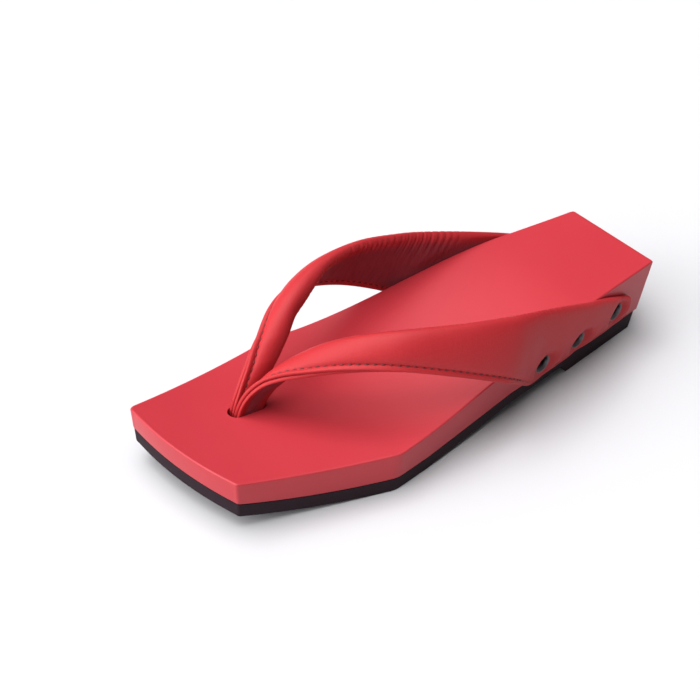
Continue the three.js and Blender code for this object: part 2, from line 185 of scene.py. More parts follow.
def four_sided_patch(ring):
    """Fills a ring with a grid: a Coons patch between the two long chains, the toe and the back edge."""
    ring = np.roll(ring, -(CORNER_STEPS // 2), axis=0)
    ring = np.vstack([ring, ring[:1]])
    toe_inner, toe_outer, heel_outer = np.array([2, 3, 5]) * CORNER_TO_CORNER
    inner = ring[:toe_inner + 1]
    toe = ring[toe_inner:toe_outer + 1]
    outer = ring[toe_outer:heel_outer + 1][::-1]
    back = ring[heel_outer:][::-1]
    r = np.linspace(0, 1, len(inner))[:, None, None]
    c = np.linspace(0, 1, len(toe))[None, :, None]
    across = (1 - c) * inner[:, None] + c * outer[:, None]
    ahead = (1 - r) * back[None] + r * toe[None]
    ends = (1 - r) * ((1 - c) * inner[0] + c * outer[0]) + r * ((1 - c) * inner[-1] + c * outer[-1])
    return across + ahead - ends


def border(rows, columns):
    """Indices of a grid's rim, in the order of the ring that the grid fills."""
    index = np.arange(rows * columns).reshape(rows, columns)
    rim = [index[:-1, 0], index[-1, :-1], index[:0:-1, -1], index[0, :0:-1]]
    return np.roll(np.concatenate(rim), CORNER_STEPS // 2)


def ring_faces(first, second):
    """Quads between two rings of vertex indices."""
    return np.column_stack([first, np.roll(first, -1), np.roll(second, -1), second])


def grid_faces(rows, columns, offset):
    """Quads of a grid of vertices that starts at an index."""
    index = np.arange(rows * columns).reshape(rows, columns) + offset
    corners = [index[:-1, :-1], index[:-1, 1:], index[1:, 1:], index[1:, :-1]]
    return np.stack(corners, axis=-1).reshape(-1, 4)


def at_every_point(side_values):
    """Values of the six sides spread over an outline's points, blended across each corner's arc."""
    share = np.linspace(0, 1, CORNER_STEPS + 1)
    before = np.roll(side_values, 1)[:, None]
    arcs = before + (side_values[:, None] - before) * share
    sides = np.repeat(side_values[:, None], len(STATIONS), axis=1)
    return np.concatenate([arcs, sides], axis=1).ravel()


def slab(grow, over, under, over_edge, under_edge, edge_steps):
    """A slab with leaning walls between two heights, each a function of ahead, with rounded edges.

    The walls are ruled between two outlines. Each edge is an arc that touches the wall and the face,
    and the faces are grids that fill an outline a little inside the last ring of the arcs.
    """
    lean = np.array([row["lean"] for row in PLAN])
    slant = np.sqrt(1 + lean**2)
    tilt = -np.arctan(lean)

    def wall_ring(height, margin):
        """The wall's outline with a height for each point, on the line from the low to the high one."""
        low, high = plan_outline(LOW, margin), plan_outline(HIGH, margin)
        return low + (high - low) * ((height - LOW) / (HIGH - LOW))[:, None]

    def wall_height(face):
        """Heights where the wall meets a face, found by putting each result back into the outline."""
        height = np.full(len(PLAN) * CORNER_TO_CORNER, BALL_TOP)
        for _ in range(HEIGHT_ROUNDS):
            height = face(wall_ring(height, grow)[:, 0])
        return height

    def edge_ring(height, face, radius, centre, angle, sign):
        """One ring of an edge's arc: moved out by the cosine, and off the face by what the sine leaves."""
        moved = wall_ring(height, grow + centre + radius * np.cos(angle))
        up = face(moved[:, 0]) - sign * radius * (1 - sign * np.sin(at_every_point(angle)))
        return np.column_stack([moved, up])

    top, bottom = wall_height(over), wall_height(under)
    over_centre = -over_edge * (slant + lean)
    under_centre = -under_edge * (slant - lean)
    quarter = math.pi / 2
    steps = np.linspace(0, 1, edge_steps + 1)
    rings = [edge_ring(top, over, over_edge, over_centre, quarter + (tilt - quarter) * t, 1) for t in steps]
    rings += [
        edge_ring(bottom, under, under_edge, under_centre, tilt + (-quarter - tilt) * t, -1) for t in steps
    ]
    grids = []
    for height, face, centre in ((top, over, over_centre), (bottom, under, under_centre)):
        patch = four_sided_patch(wall_ring(height, grow + centre - FACE_INSET))
        grids.append(np.dstack([patch, face(patch[..., 0])]))
    rows, columns = grids[0].shape[:2]
    size = rows * columns
    around = len(top)
    loops = [border(rows, columns)]
    loops += [2 * size + around * i + np.arange(around) for i in range(len(rings))]
    loops += [size + border(rows, columns)]
    points = np.vstack([grids[0].reshape(-1, 3), grids[1].reshape(-1, 3), *rings])
    faces = [grid_faces(rows, columns, 0), grid_faces(rows, columns, size)[:, ::-1]]
    faces += [ring_faces(a, b) for a, b in zip(loops[:-1], loops[1:])]
    return points, np.vstack(faces)


def new_piece(name, points, faces, caps=()):
    """A mesh object from millimetre points, quads and any many-sided end caps, with its faces outwards."""
    mesh = bpy.data.meshes.new(name)
    mesh.from_pydata(place(points).tolist(), [], faces.tolist() + [list(cap) for cap in caps])
    shell = bmesh.new()
    shell.from_mesh(mesh)
    bmesh.ops.recalc_face_normals(shell, faces=shell.faces)
    shell.to_mesh(mesh)
    shell.free()
    piece = bpy.data.objects.new(name, mesh)
    bpy.context.scene.collection.objects.link(piece)
    return piece


SHARP_ANGLE = math.radians(38)


def shade(piece):
    """Smooth shading, with edges kept crisp where the surface turns sharply."""
    piece.data.shade_smooth()
    piece.data.set_sharp_from_angle(angle=SHARP_ANGLE)


def new_material(name):
    """An empty node material, with its tree and its Principled shader."""
    material = bpy.data.materials.new(name)
    material.use_nodes = True
    return material, material.node_tree, material.node_tree.nodes["Principled BSDF"]


def add_node(tree, kind, values=None, **settings):
    """Adds a node, sets its settings, and sets or links each named or numbered input."""
    node = tree.nodes.new(kind)
    for name, value in settings.items():
        setattr(node, name, value)
    for name, value in (values or {}).items():
        if isinstance(value, bpy.types.NodeSocket):
            tree.links.new(value, node.inputs[name])
        else:
            node.inputs[name].default_value = value
    return node


def uneven_group():
    """Shader group: cloudy unevenness of a finish, as a factor for colour and as a fine height."""
    group = bpy.data.node_groups.new("uneven_finish", "ShaderNodeTree")
    for name in ("Cloud Scale", "Fine Scale"):
        group.interface.new_socket(name, in_out="INPUT", socket_type="NodeSocketFloat")
    for name in ("Cloud", "Fine"):
        group.interface.new_socket(name, in_out="OUTPUT", socket_type="NodeSocketFloat")
    inlet = group.nodes.new("NodeGroupInput")
    outlet = group.nodes.new("NodeGroupOutput")
    where = add_node(group, "ShaderNodeTexCoord").outputs["Object"]
    for name, detail in (("Cloud", 3.0), ("Fine", 2.0)):
        values = {"Vector": where, "Scale": inlet.outputs[f"{name} Scale"], "Detail": detail}
        noise = add_node(group, "ShaderNodeTexNoise", values)
        group.links.new(noise.outputs["Fac"], outlet.inputs[name])
    return group


UNEVEN = uneven_group()


def uneven(tree, cloud, fine):
    """Places the group of uneven finish in a material with its own two scales."""
    scales = {"Cloud Scale": cloud, "Fine Scale": fine}
    node = add_node(tree, "ShaderNodeGroup", scales, node_tree=UNEVEN)
    return node.outputs["Cloud"], node.outputs["Fine"]


def blend_colours(tree, factor, first, second):
    """The colour between two, plain ones or other blends, by a factor that changes over the surface."""
    node = add_node(tree, "ShaderNodeMix", data_type="RGBA")
    tree.links.new(factor, node.inputs["Factor"])
    sockets = [socket for socket in node.inputs if socket.type == "RGBA"]
    for socket, colour in zip(sockets, (first, second)):
        if isinstance(colour, bpy.types.NodeSocket):
            tree.links.new(colour, socket)
        else:
            socket.default_value = (*colour, 1)
    return next(socket for socket in node.outputs if socket.type == "RGBA")


def remap(tree, value, low, high):
    """A value between 0 and 1 stretched to a range."""
    return add_node(tree, "ShaderNodeMapRange", {"Value": value, "To Min": low, "To Max": high}).outputs[0]


def bump(tree, height, distance, strength):
    """A normal from a height, with the depth of the relief in metres."""
    values = {"Height": height, "Distance": distance, "Strength": strength}
    return add_node(tree, "ShaderNodeBump", values).outputs["Normal"]


def rubber_material():
    """Matt black rubber with a fine moulded grain and a dusting of brown."""
    material, tree, shader = new_material("black_rubber")
    cloud, fine = uneven(tree, cloud=60, fine=1500)
    colour = blend_colours(tree, cloud, RUBBER_BLACK, RUBBER_BROWN)
    tree.links.new(colour, shader.inputs["Base Color"])
    tree.links.new(remap(tree, cloud, low=0.65, high=0.8), shader.inputs["Roughness"])
    shader.inputs["Specular IOR Level"].default_value = 0.16
    tree.links.new(bump(tree, fine, distance=0.0002, strength=0.5), shader.inputs["Normal"])
    return material


def sole_over(ahead):
    """Height of the rubber's top face, a hair under the wood."""
    return seam(ahead) - CLEARANCE


SOLE_MARGINS = -np.array([row["sole"] for row in PLAN])
sole_slab = slab(SOLE_MARGINS, sole_over, sole_under, SOLE_TOP_EDGE, SOLE_EDGE, SOLE_EDGE_STEPS)
outsole = new_piece("outsole_rubber", *sole_slab)
shade(outsole)
outsole.data.materials.append(rubber_material())
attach(outsole, "root")
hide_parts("outsole")

# Wooden platform
# One block of light wood, shaped to the foot and lacquered red all over, with its edges eased by hand.
# A long hole takes the toe post, and blind holes in its sides take the eyelets.

WOOD_EDGE, WOOD_UNDER_EDGE, WOOD_EDGE_STEPS = 0.8, 0.5, 8
LACQUER_DEEP, LACQUER_BRIGHT = (0.43, 0.026, 0.037), (0.48, 0.032, 0.044)
SLOT_REAR, SLOT_FRONT, SLOT_SIDE, SLOT_WIDTH = 192.0, 210.2, -10.25, 8.0
SLOT_CUT_TOP, SLOT_END_STEPS = 40.0, 16

# Places of the eyelets along and up each side, and the sizes of one
EYELETS = [(27.1, 21.5), (53.9, 20.5), (78.2, 20.4)]
EYELET_RIM, EYELET_BARREL, EYELET_DEPTH, EYELET_SUNK = 4.5, 3.9, 5.0, 0.8
EYELET_SIDES = 32


def wall(hand, ahead, up):
    """How far out the long side wall stands, in side millimetres, at places along and up the shoe.

    The edge runs straight from heel to ball with a bow, and the wall leans in below it.
    """
    heel, ball = (PLAN[5], PLAN[4]) if hand > 0 else (PLAN[0], PLAN[1])
    face = PLAN[4] if hand > 0 else PLAN[0]
    share = (ahead - heel["ahead"]) / (ball["ahead"] - heel["ahead"])
    edge = heel["side"] + (ball["side"] - heel["side"]) * share
    edge = edge + hand * face["bow"] * 4 * share * (1 - share)
    top = footbed_top(heel["ahead"]) * (1 - share) + footbed_top(ball["ahead"]) * share
    return edge - hand * face["lean"] * (top - up)


def wall_facing(hand):
    """Outward direction of the long side wall, [ahead, side, up]."""
    heel, ball = (PLAN[5], PLAN[4]) if hand > 0 else (PLAN[0], PLAN[1])
    face = PLAN[4] if hand > 0 else PLAN[0]
    slope = (ball["side"] - heel["side"]) / (ball["ahead"] - heel["ahead"])
    return unit(np.array([-hand * slope, hand, -face["lean"]]))


def eyelet_seats():
    """Seat and facing of the six eyelets, on the leather over the side walls."""
    seats, facings = [], []
    for hand in (1, -1):
        for ahead, up in EYELETS:
            facing = wall_facing(hand)
            seats.append(np.array([ahead, wall(hand, ahead, up), up]) + facing * (CLEARANCE + EYELET_SUNK))
            facings.append(facing)
    return np.array(seats), np.array(facings)


def turned(profile, seats, facings, sides):
    """Profiles of [radius, height] turned about the facing axes at each seat: seats, rings, sides, 3."""
    angles = np.linspace(0, 2 * math.pi, sides, endpoint=False)
    first = unit(np.cross(facings, [0, 0, 1]))
    second = np.cross(facings, first)
    rim = first[:, None] * np.cos(angles)[:, None] + second[:, None] * np.sin(angles)[:, None]
    radius, height = profile[:, 0], profile[:, 1]
    return (seats[:, None, None] + rim[:, None] * radius[None, :, None, None]
            + facings[:, None, None] * height[None, :, None, None])


def turned_faces(count, rings, sides):
    """Quads and the two end caps of turned shapes."""
    index = np.arange(count * rings * sides).reshape(count, rings, sides)
    ahead = np.roll(index, -1, axis=2)
    quads = np.stack([index[:, :-1], ahead[:, :-1], ahead[:, 1:], index[:, 1:]], axis=-1).reshape(-1, 4)
    return quads, [*index[:, 0].tolist(), *index[:, -1].tolist()]


def cut_away(piece, cutter):
    """Takes the cutter's solid out of a piece, and removes the cutter."""
    cut = piece.modifiers.new("cut", "BOOLEAN")
    cut.operation = "DIFFERENCE"
    cut.solver = "EXACT"
    cut.object = cutter
    graph = bpy.context.evaluated_depsgraph_get()
    mesh = bpy.data.meshes.new_from_object(piece.evaluated_get(graph))
    piece.modifiers.clear()
    piece.data = mesh
    bpy.data.objects.remove(cutter)


def eyelet_drills(radius):
    """Six round cutters along the eyelets' axes, through the leather and into the wood."""
    seats, facings = eyelet_seats()
    profile = np.array([[radius, -EYELET_DEPTH - CLEARANCE], [radius, EYELET_DEPTH]])
    quads, caps = turned_faces(len(seats), len(profile), EYELET_SIDES)
    rings = turned(profile, seats, facings, EYELET_SIDES)
    return new_piece("eyelet_drills", rings.reshape(-1, 3), quads, caps)


def slot_cutter():
    """The long hole of the toe post: a stadium outline carried straight up."""
    radius = SLOT_WIDTH / 2
    turn = np.linspace(-math.pi / 2, math.pi / 2, SLOT_END_STEPS + 1)
    bulge = radius * np.cos(turn)
    sideways = radius * np.sin(turn)
    front = np.column_stack([SLOT_FRONT - radius + bulge, SLOT_SIDE + sideways])
    rear = np.column_stack([SLOT_REAR + radius - bulge, SLOT_SIDE - sideways])
    outline = np.vstack([front, rear])
    rings = [np.column_stack([outline, np.full(len(outline), up)]) for up in (0, SLOT_CUT_TOP)]
    index = np.arange(2 * len(outline)).reshape(2, -1)
    return new_piece("slot_cutter", np.vstack(rings), ring_faces(*index), index.tolist())


def calculate(tree, operation, *values):
    """One step of arithmetic on plain numbers and on values that change over the surface."""
    return add_node(tree, "ShaderNodeMath", dict(enumerate(values)), operation=operation).outputs[0]


def lacquer_material():
    """Satin red lacquer: a deep red with cloudy depth, and faint grain telegraphing through."""
    material, tree, shader = new_material("red_lacquer")
    cloud, fine = uneven(tree, cloud=22, fine=900)
    where = add_node(tree, "ShaderNodeTexCoord").outputs["Object"]
    along = add_node(tree, "ShaderNodeMapping", {"Vector": where, "Scale": (260, 14, 260)}).outputs[0]
    values = {"Vector": along, "Scale": 1.0, "Detail": 4.0}
    grain = add_node(tree, "ShaderNodeTexNoise", values).outputs["Fac"]
    colour = blend_colours(tree, cloud, LACQUER_DEEP, LACQUER_BRIGHT)
    tree.links.new(colour, shader.inputs["Base Color"])
    tree.links.new(remap(tree, cloud, low=0.34, high=0.44), shader.inputs["Roughness"])
    shader.inputs["Specular IOR Level"].default_value = 0.34
    relief = calculate(tree, "ADD", grain, fine)
    tree.links.new(bump(tree, relief, distance=0.00006, strength=0.35), shader.inputs["Normal"])
    return material


wood_slab = slab(0.0, footbed_top, seam, WOOD_EDGE, WOOD_UNDER_EDGE, WOOD_EDGE_STEPS)
wood = new_piece("base_wood_lacquered", *wood_slab)
cut_away(wood, slot_cutter())
cut_away(wood, eyelet_drills(EYELET_BARREL + CLEARANCE))
shade(wood)
wood.data.materials.append(lacquer_material())
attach(wood, "root")
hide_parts("base_wood")

# Strap
# Two padded bands of red leather, each folded over a soft core at the rear and stitched through a flat
# flange at the front, where the two cut edges show. They meet in the toe post, and three eyelets hold
# the rear end of each to the wood.

LEATHER = 3.4
LEATHER_DEEP, LEATHER_BRIGHT = (0.40, 0.020, 0.026), (0.46, 0.026, 0.031)
# Painted shade under the roll: the colours the leather darkens to from the roll round to the lining
SHADE_UNDER_ROLL_DEEP, SHADE_UNDER_ROLL_PALE = (0.17, 0.025, 0.036), (0.32, 0.045, 0.062)
LINING_DULLNESS, WRINKLE_WEIGHT = 0.4, 1.6
STATION_STEPS = 22
SECTION_STEPS = 4

# One row for each section from the toe post to the back end, in the shoe's millimetres:
# front edge ahead, side, up; rear edge ahead, side, up; width of the flange; thickness of the pad
OUTER_BAND = np.array([
    (208.4, -8.4, 10.9, 194.6, -8.4, 10.9, 3.2, 3.6),
    (207.6, -8.4, 22.6, 193.8, -8.2, 22.4, 3.2, 3.7),
    (203.9, -7.2, 31.3, 188.8, -6.6, 31.2, 3.0, 4.8),
    (198.2, -3.4, 38.6, 184.2, -3.4, 37.4, 2.8, 6.4),
    (192.0, 2.9, 43.2, 176.2, -0.6, 43.6, 2.6, 6.9),
    (185.0, 10.4, 46.4, 170.6, 3.8, 49.8, 2.5, 7.0),
    (176.0, 18.4, 48.9, 163.5, 10.1, 55.0, 2.5, 7.0),
    (164.0, 27.0, 49.5, 154.8, 17.6, 59.0, 2.5, 7.0),
    (151.1, 34.2, 47.6, 143.5, 25.6, 61.2, 2.5, 6.8),
    (129.6, 42.7, 40.5, 120.5, 34.4, 59.6, 2.5, 6.3),
    (107.1, 46.8, 29.4, 98.5, 38.1, 55.9, 2.5, 6.5),
    (96.0, 43.0, 20.8, 89.5, 38.5, 53.9, 2.5, 6.8),
    (85.4, 37.6, 13.2, 80.0, 38.2, 51.3, 2.2, 7.0),
    (70.0, 34.7, 13.7, 66.0, 37.0, 46.6, 1.8, 6.9),
    (50.0, 31.4, 14.0, 48.0, 34.3, 39.4, 1.6, 6.6),
    (34.0, 28.8, 14.0, 34.5, 31.0, 33.7, 1.6, 6.2),
    (24.0, 27.0, 14.0, 23.5, 28.8, 28.6, 1.6, 5.4),
    (18.6, 26.1, 15.0, 18.4, 27.5, 26.0, 1.6, 4.6),
])
INNER_BAND = np.array([
    (208.4, -12.1, 10.9, 194.6, -12.1, 10.9, 3.2, 3.6),
    (207.6, -12.1, 22.6, 193.8, -12.3, 22.4, 3.2, 3.7),
    (203.4, -13.3, 31.1, 187.8, -14.2, 31.2, 3.0, 4.8),
    (197.0, -16.4, 38.9, 180.4, -16.4, 38.6, 3.0, 6.8),
    (191.0, -20.4, 44.2, 173.2, -18.6, 45.4, 2.8, 7.6),
    (183.7, -25.5, 47.5, 167.8, -20.8, 51.2, 2.6, 7.9),
    (175.0, -31.5, 49.5, 160.6, -23.8, 55.6, 2.5, 8.0),
    (163.8, -37.8, 49.3, 152.3, -28.3, 58.8, 2.5, 7.8),
    (150.5, -42.8, 45.8, 142.3, -33.5, 61.0, 2.5, 7.2),
    (130.6, -45.2, 37.6, 121.0, -39.0, 59.3, 2.5, 6.3),
    (110.3, -44.0, 27.0, 99.0, -39.7, 54.4, 2.5, 6.5),
    (98.5, -41.6, 19.6, 90.0, -39.8, 51.8, 2.5, 6.8),
    (87.0, -37.2, 13.2, 81.0, -39.4, 48.9, 2.2, 7.0),
    (70.0, -35.1, 13.7, 66.0, -38.2, 43.8, 1.8, 6.9),
    (50.0, -33.1, 14.0, 48.0, -35.8, 37.6, 1.6, 6.6),
    (34.0, -31.8, 14.0, 34.5, -34.0, 32.5, 1.6, 6.2),
    (24.0, -30.9, 14.0, 23.5, -32.6, 28.2, 1.6, 5.4),
    (18.6, -30.6, 15.0, 18.4, -31.8, 25.8, 1.6, 4.6),
])

# One turn round the section, from the gap between the two layers of the flange and back to it: flange
# widths, share of the padded width, share of the leather's thickness, share of the swelling, and the share
# of the leather's thickness that the seam pulls down where it is sewn
SECTION = np.array([
    (0.60, 0.00, 0.00, 0.00, 0.00),
    (0.12, 0.00, -0.09, 0.00, 0.00),
    (0.00, 0.00, -0.28, 0.00, 0.00),
    (0.08, 0.00, -0.49, 0.00, 0.00),
    (0.50, 0.00, -0.52, 0.00, 0.00),
    (1.00, 0.00, -0.50, 0.00, -0.06),
    (1.00, 0.28, -0.50, -0.13, 0.00),
    (1.00, 0.55, -0.50, -0.20, 0.00),
    (1.00, 0.80, -0.49, -0.19, 0.00),
    (1.00, 0.93, -0.42, -0.14, 0.00),
    (1.00, 1.00, 0.00, 0.06, 0.00),
    (1.00, 0.95, 0.40, 0.32, 0.00),
    (1.00, 0.80, 0.50, 0.64, 0.00),
    (1.00, 0.54, 0.50, 0.80, 0.00),
    (1.00, 0.28, 0.50, 0.66, 0.00),
    (1.00, 0.10, 0.50, 0.36, 0.00),
    (1.00, 0.03, 0.50, 0.12, 0.02),
    (1.00, 0.00, 0.50, 0.00, 0.08),
    (0.80, 0.00, 0.51, 0.00, 0.02),
    (0.50, 0.00, 0.53, 0.00, 0.00),
    (0.08, 0.00, 0.49, 0.00, 0.00),
    (0.00, 0.00, 0.28, 0.00, 0.00),
    (0.12, 0.00, 0.09, 0.00, 0.00),
    (0.60, 0.00, 0.00, 0.00, 0.00),
])

# Where along the shoe the seam starts to pull and pulls in full, typical millimetres of each column of the
# section, and the places of the two seams and of the roll in a ring
SEWN_FROM, SEWN_TO = 84.0, 92.0
SECTION_SCALE = np.array([2.6, 15.0, LEATHER, 4.2, LEATHER])
LINING_SEAM, ROLL, SEAM = 5 * SECTION_STEPS, 10 * SECTION_STEPS, 17 * SECTION_STEPS

# Creases under the roll, where the lining is drawn together: how far ahead, how far round
# from the roll towards the lining, half length, half width and depth in millimetres, then slant and bend
CREASES = np.array([
    (164.4, 2.6, 3.0, 0.8, 0.12, -0.04, 0.000),
    (160.6, 3.0, 3.2, 0.7, 0.14, 0.03, 0.000),
    (157.4, 2.4, 3.0, 0.8, 0.15, 0.00, 0.000),
    (153.6, 2.8, 3.2, 0.7, 0.16, -0.03, 0.000),
    (150.0, 2.3, 3.0, 0.8, 0.17, 0.05, 0.000),
    (146.4, 3.3, 3.6, 0.7, 0.22, -0.04, 0.000),
    (142.8, 2.6, 3.2, 0.8, 0.22, 0.03, 0.000),
    (139.6, 3.4, 4.0, 0.7, 0.30, 0.00, 0.000),
    (137.2, 2.6, 3.4, 0.7, 0.25, 0.06, 0.000),
    (134.8, 3.4, 4.4, 0.6, 0.34, -0.03, 0.000),
    (132.0, 2.8, 3.6, 0.7, 0.30, 0.02, 0.000),
    (129.8, 3.4, 4.2, 0.6, 0.35, 0.05, 0.000),
    (127.2, 3.8, 4.8, 0.7, 0.38, -0.02, 0.000),
    (124.4, 2.6, 3.6, 0.6, 0.30, 0.04, 0.000),
    (122.2, 3.6, 4.6, 0.7, 0.38, 0.00, 0.000),
    (119.2, 3.0, 3.8, 0.6, 0.32, 0.07, 0.000),
    (116.8, 2.6, 3.6, 0.7, 0.30, 0.05, 0.000),
    (114.0, 3.6, 4.6, 0.6, 0.37, 0.02, 0.000),
    (111.2, 3.2, 4.0, 0.7, 0.32, 0.00, 0.000),
    (108.2, 2.8, 3.8, 0.6, 0.30, -0.04, 0.000),
    (105.0, 3.4, 4.4, 0.7, 0.34, -0.08, 0.000),
    (101.6, 3.0, 4.0, 0.7, 0.30, -0.12, -0.002),
    (98.0, 4.8, 4.6, 0.8, 0.28, -0.18, -0.004),
    (94.2, 5.2, 5.4, 0.8, 0.30, -0.26, -0.007),
    (90.4, 5.8, 6.4, 0.8, 0.34, -0.36, -0.010),
    (86.6, 6.4, 7.2, 0.8, 0.38, -0.44, -0.013),
    (82.8, 6.6, 7.4, 0.8, 0.38, -0.50, -0.014),
    (79.0, 6.2, 7.0, 0.8, 0.36, -0.54, -0.014),
    (75.2, 5.6, 6.2, 0.8, 0.32, -0.57, -0.014),
    (71.2, 5.0, 5.4, 0.8, 0.26, -0.59, -0.012),
    (67.0, 4.4, 4.6, 0.8, 0.20, -0.60, -0.010),
])

# How far ahead the creases of each band are moved, and how high above the footbed they start and are whole
OUTER_CREASE_SHIFT, INNER_CREASE_SHIFT = 1.7, 0.0
CREASE_FADES, CREASE_WHOLE = 1.0, 7.0


def through(rows, steps):
    """A smooth curve through rows of numbers, with some steps between each two.

    The pieces are cubics whose slopes come from the neighbours, weighted by the square root of their
    distance, and the ends run on straight.
    """
    points = np.vstack([2 * rows[0] - rows[1], rows, 2 * rows[-1] - rows[-2]])
    gaps = np.sqrt(np.linalg.norm(np.diff(points, axis=0), axis=1))[:, None]
    p0, p1, p2, p3 = points[:-3], points[1:-2], points[2:-1], points[3:]
    d0, d1, d2 = gaps[:-2], gaps[1:-1], gaps[2:]
    slope1 = d1 * ((p1 - p0) / d0 - (p2 - p0) / (d0 + d1) + (p2 - p1) / d1)
    slope2 = d1 * ((p2 - p1) / d1 - (p3 - p1) / (d1 + d2) + (p3 - p2) / d2)
    t = np.linspace(0, 1, steps, endpoint=False)[None, :, None]
    start, end, leave, arrive = (value[:, None] for value in (p1, p2, slope1, slope2))
    curve = start + leave * t + (3 * (end - start) - 2 * leave - arrive) * t**2
    curve = curve + (2 * (start - end) + leave + arrive) * t**3
    return np.vstack([curve.reshape(-1, rows.shape[1]), rows[-1:]])


END_ROLL = np.radians([0, 18, 36, 54, 70, 82])


def band_surface(rows, hand):
    """One band as rings of points: the section's shares times the sizes of each station.

    A ring's point stands off the front edge by its share of the width, and off the chord by its share
    of the leather and of the padding. Past the last row the end is rolled over: its thickness falls with
    the cosine of the turn, while it moves on by the sine, and the width draws in by the same radius.
    """
    last = len(END_ROLL) - 1
    front = through(rows[:, 0:3], STATION_STEPS)
    rear = through(rows[:, 3:6], STATION_STEPS)
    row_number = np.linspace(0, len(rows) - 1, len(front))
    flange = np.interp(row_number, np.arange(len(rows)), rows[:, 6])
    swelling = np.interp(row_number, np.arange(len(rows)), rows[:, 7]) - LEATHER
    along = np.gradient(front + rear, axis=0)
    front, rear, along = (np.vstack([a, np.repeat(a[-1:], last, axis=0)]) for a in (front, rear, along))
    flange, swelling = (np.append(a, np.repeat(a[-1], last)) for a in (flange, swelling))
    turn = np.concatenate([np.zeros(len(front) - last), END_ROLL[1:]])
    width = np.linalg.norm(rear - front, axis=1)
    across = unit(rear - front)
    outward = hand * unit(np.cross(along, across))
    shares = through(SECTION * SECTION_SCALE, SECTION_STEPS)[:-1] / SECTION_SCALE
    x = np.outer(flange, shares[:, 0]) + np.outer(width - flange, shares[:, 1])
    sewn = smooth_step(front[:, 0], SEWN_FROM, SEWN_TO)
    y = LEATHER * (shares[:, 2] - np.outer(sewn, shares[:, 4])) + np.outer(swelling, shares[:, 3])
    radius = LEATHER / 2
    drawn_in = 1 - 2 * radius * (1 - np.cos(turn)) / width
    x = width[:, None] / 2 + (x - width[:, None] / 2) * drawn_in[:, None]
    y = y * np.cos(turn)[:, None]
    start = front + unit(along) * (radius * np.sin(turn))[:, None]
    return start[:, None] + across[:, None] * x[..., None] + outward[:, None] * y[..., None]


def surface_normals(points, hand):
    """Outward normals of a ringed surface, from its slopes along and around."""
    around = np.roll(points, -1, axis=1) - np.roll(points, 1, axis=1)
    along = np.gradient(points, axis=0)
    return hand * unit(np.cross(around, along))


def measure(points):
    """Millimetres along the band at each station, and round its section from the roll to the lining."""
    middle = points.mean(axis=1)
    way = np.concatenate([[0], np.cumsum(np.linalg.norm(np.diff(middle, axis=0), axis=1))])
    steps = np.linalg.norm(np.diff(points, axis=1), axis=2)
    arc = np.hstack([np.zeros((len(points), 1)), np.cumsum(steps, axis=1)])
    return way, arc[:, ROLL:ROLL + 1] - arc


def creased(points, hand, shift):
    """The band with its creases: each a trough with raised lips, fading out towards both its ends.

    Across a crease the depth follows one minus a square, times a bell curve, and along it a bell curve.
    All of them fade out where the lining comes down to the wood.
    """
    way, round_way = measure(points)
    ahead, centre, half_length, half_width, depth, slant, bend = CREASES.T
    middle_ahead = points[:, ROLL, 0]
    at = np.interp(-(ahead + shift), -middle_ahead, way)
    q = round_way[..., None] - centre
    s = way[:, None, None] - at - slant * q - bend * q**2
    across = (s / half_width)**2
    dent = depth * (1 - across) * np.exp(-across / 2) * np.exp(-(q / half_length)**2)
    free = smooth_step(points[..., 2] - footbed_top(points[..., 0]), CREASE_FADES, CREASE_WHOLE)
    return points - surface_normals(points, hand) * (free * dent.sum(axis=-1))[..., None]


# How far past an eyelet's rim the leather is drawn down, and how high it then stands over the seat
DIMPLE_REACH, DIMPLE_FLOOR = 2.6, 0.7


def dimpled(points):
    """The band drawn down to its eyelets: near each one the leather's face sinks to the rim's height."""
    seats, facings = eyelet_seats()
    moved = points.copy()
    for seat, facing in zip(seats, facings):
        away = moved - seat
        height = away @ facing
        distance = np.linalg.norm(away - height[..., None] * facing, axis=-1)
        beyond = np.clip(distance - EYELET_RIM, 0, None)
        pull = np.exp(-(beyond / DIMPLE_REACH)**2) * (height > DIMPLE_FLOOR)
        moved = moved - (pull * (height - DIMPLE_FLOOR))[..., None] * facing
    return moved


# How far ahead the side wall reaches, and how high above the footbed the leather is free of it
WALL_ENDS, OVER_FOOTBED = 150.0, 6.0


def off_the_wood(points, hand):
    """Moves what lies inside the side wall out to it, with the clearance that the leather keeps.

    The whole way is made beside the wood, and a share that fades to nothing above the footbed's edge.
    """
    ahead, side, up = np.moveaxis(points, -1, 0)
    depth = np.clip(CLEARANCE - hand * (side - wall(hand, ahead, up)), 0, None)
    share = 1 - smooth_step(up - footbed_top(ahead), CLEARANCE, OVER_FOOTBED)
    moved = points.copy()
    moved[..., 1] += hand * depth * share * (ahead < WALL_ENDS)
    return moved


# How far round from the roll the painted shade under the roll starts and is whole
SHADE_UNDER_ROLL_STARTS, SHADE_UNDER_ROLL_WHOLE = 2.2, 8.5


def mapped_share(tree, map_name):
    """The share that a piece's UV map holds in its first column."""
    shares = add_node(tree, "ShaderNodeUVMap", uv_map=map_name).outputs["UV"]
    return add_node(tree, "ShaderNodeSeparateXYZ", {"Vector": shares}).outputs["X"]


def write_map(piece, map_name, first, second):
    """Writes two columns of numbers, one for each point, to a piece as a UV map."""
    flat = np.stack(np.broadcast_arrays(first, second), axis=-1).reshape(-1, 2)
    corners = np.empty(len(piece.data.loops), dtype=np.int32)
    piece.data.loops.foreach_get("vertex_index", corners)
    piece.data.uv_layers.new(name=map_name).data.foreach_set("uv", flat[corners].ravel())


